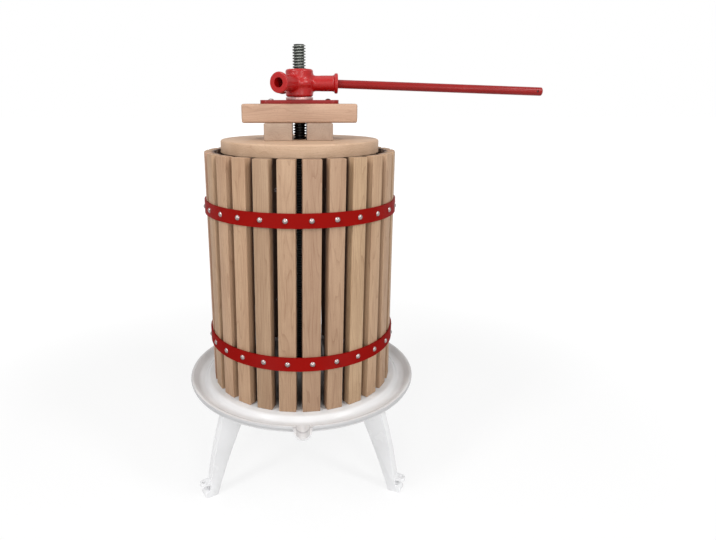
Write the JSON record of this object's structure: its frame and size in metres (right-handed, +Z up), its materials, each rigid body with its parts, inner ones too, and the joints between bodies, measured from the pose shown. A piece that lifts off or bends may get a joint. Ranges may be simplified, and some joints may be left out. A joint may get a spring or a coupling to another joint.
{
  "type": "fruit press",
  "caption": "Fruit press: slatted wooden cage on a spouted enamelled tray with legs, and a pressing disc wound down a threaded spindle by a head with a lever bar.",
  "frame": {"origin": "point on the floor under the spindle's axis, in the middle of the feet", "axes": "+Z up along the spindle, -Y toward the spout and the viewer of the picture, +X toward the side where the lever bar points at rest"},
  "size_m": [0.5467, 0.3843, 0.691],
  "materials": {
    "tray_enamel": "glossy white enamel",
    "leg_enamel": "glossy white enamel on castings",
    "zinc_steel": "zinc plated",
    "spindle_steel": "plain rolled thread",
    "beech_stave": "planed beech, bare",
    "hoop_paint": "satin red paint",
    "rivet_steel": "bright",
    "ring_steel": "turned, bright",
    "plate_paint": "glossy red paint",
    "beech_block": "planed beech, bare",
    "beech_disc": "turned beech, bare",
    "head_paint": "glossy red paint on a casting",
    "bar_paint": "satin red paint"
  },
  "bodies": {
    "stand": {"tray": "tray_enamel", "leg_left": "leg_enamel", "leg_right": "leg_enamel", "leg_rear": "leg_enamel", "leg_bolts": "zinc_steel", "leg_nuts": "zinc_steel", "spindle": "spindle_steel", "spindle_nut_top": "zinc_steel", "spindle_washer": "zinc_steel", "spindle_nut_bottom": "zinc_steel"},
    "cage": {"stave_01": "beech_stave", "stave_02": "beech_stave", "stave_03": "beech_stave", "stave_04": "beech_stave", "stave_05": "beech_stave", "stave_06": "beech_stave", "stave_07": "beech_stave", "stave_08": "beech_stave", "stave_09": "beech_stave", "stave_10": "beech_stave", "stave_11": "beech_stave", "stave_12": "beech_stave", "stave_13": "beech_stave", "stave_14": "beech_stave", "stave_15": "beech_stave", "stave_16": "beech_stave", "stave_17": "beech_stave", "stave_18": "beech_stave", "stave_19": "beech_stave", "stave_20": "beech_stave", "stave_21": "beech_stave", "stave_22": "beech_stave", "stave_23": "beech_stave", "stave_24": "beech_stave", "stave_25": "beech_stave", "stave_26": "beech_stave", "hoop_upper": "hoop_paint", "hoop_lower": "hoop_paint", "rivets_upper": "rivet_steel", "rivets_lower": "rivet_steel"},
    "carriage": {"thrust_ring": "ring_steel", "pressure_plate": "plate_paint", "plate_screws": "zinc_steel", "beam": "beech_block", "block_left": "beech_block", "block_right": "beech_block", "disc_front": "beech_disc", "disc_rear": "beech_disc"},
    "head": {"head": "head_paint"},
    "bar": {"lever_bar": "bar_paint"}
  },
  "joints": [
    {"name": "press_travel", "type": "slide", "parent": "stand", "child": "carriage", "axis": [0, 0, 1], "range_m": [-0.056, 0]},
    {"name": "head_turn", "type": "hinge", "parent": "carriage", "child": "head", "pos_m": [0, 0, 0], "axis": [0, 0, 1], "range_deg": [-4980, 0]},
    {"name": "bar_slide", "type": "slide", "parent": "head", "child": "bar", "axis": [0.9992, -0.0174, -0.0353], "range_m": [0, 0.04]},
    {"name": "cage_lift", "type": "slide", "parent": "stand", "child": "cage", "axis": [0, 0, 1], "range_m": [0, 0.025]}
  ],
  "couplings": [
    {"joint": "press_travel", "follows": "head_turn", "m_per_rad": 0.00063662}
  ]
}
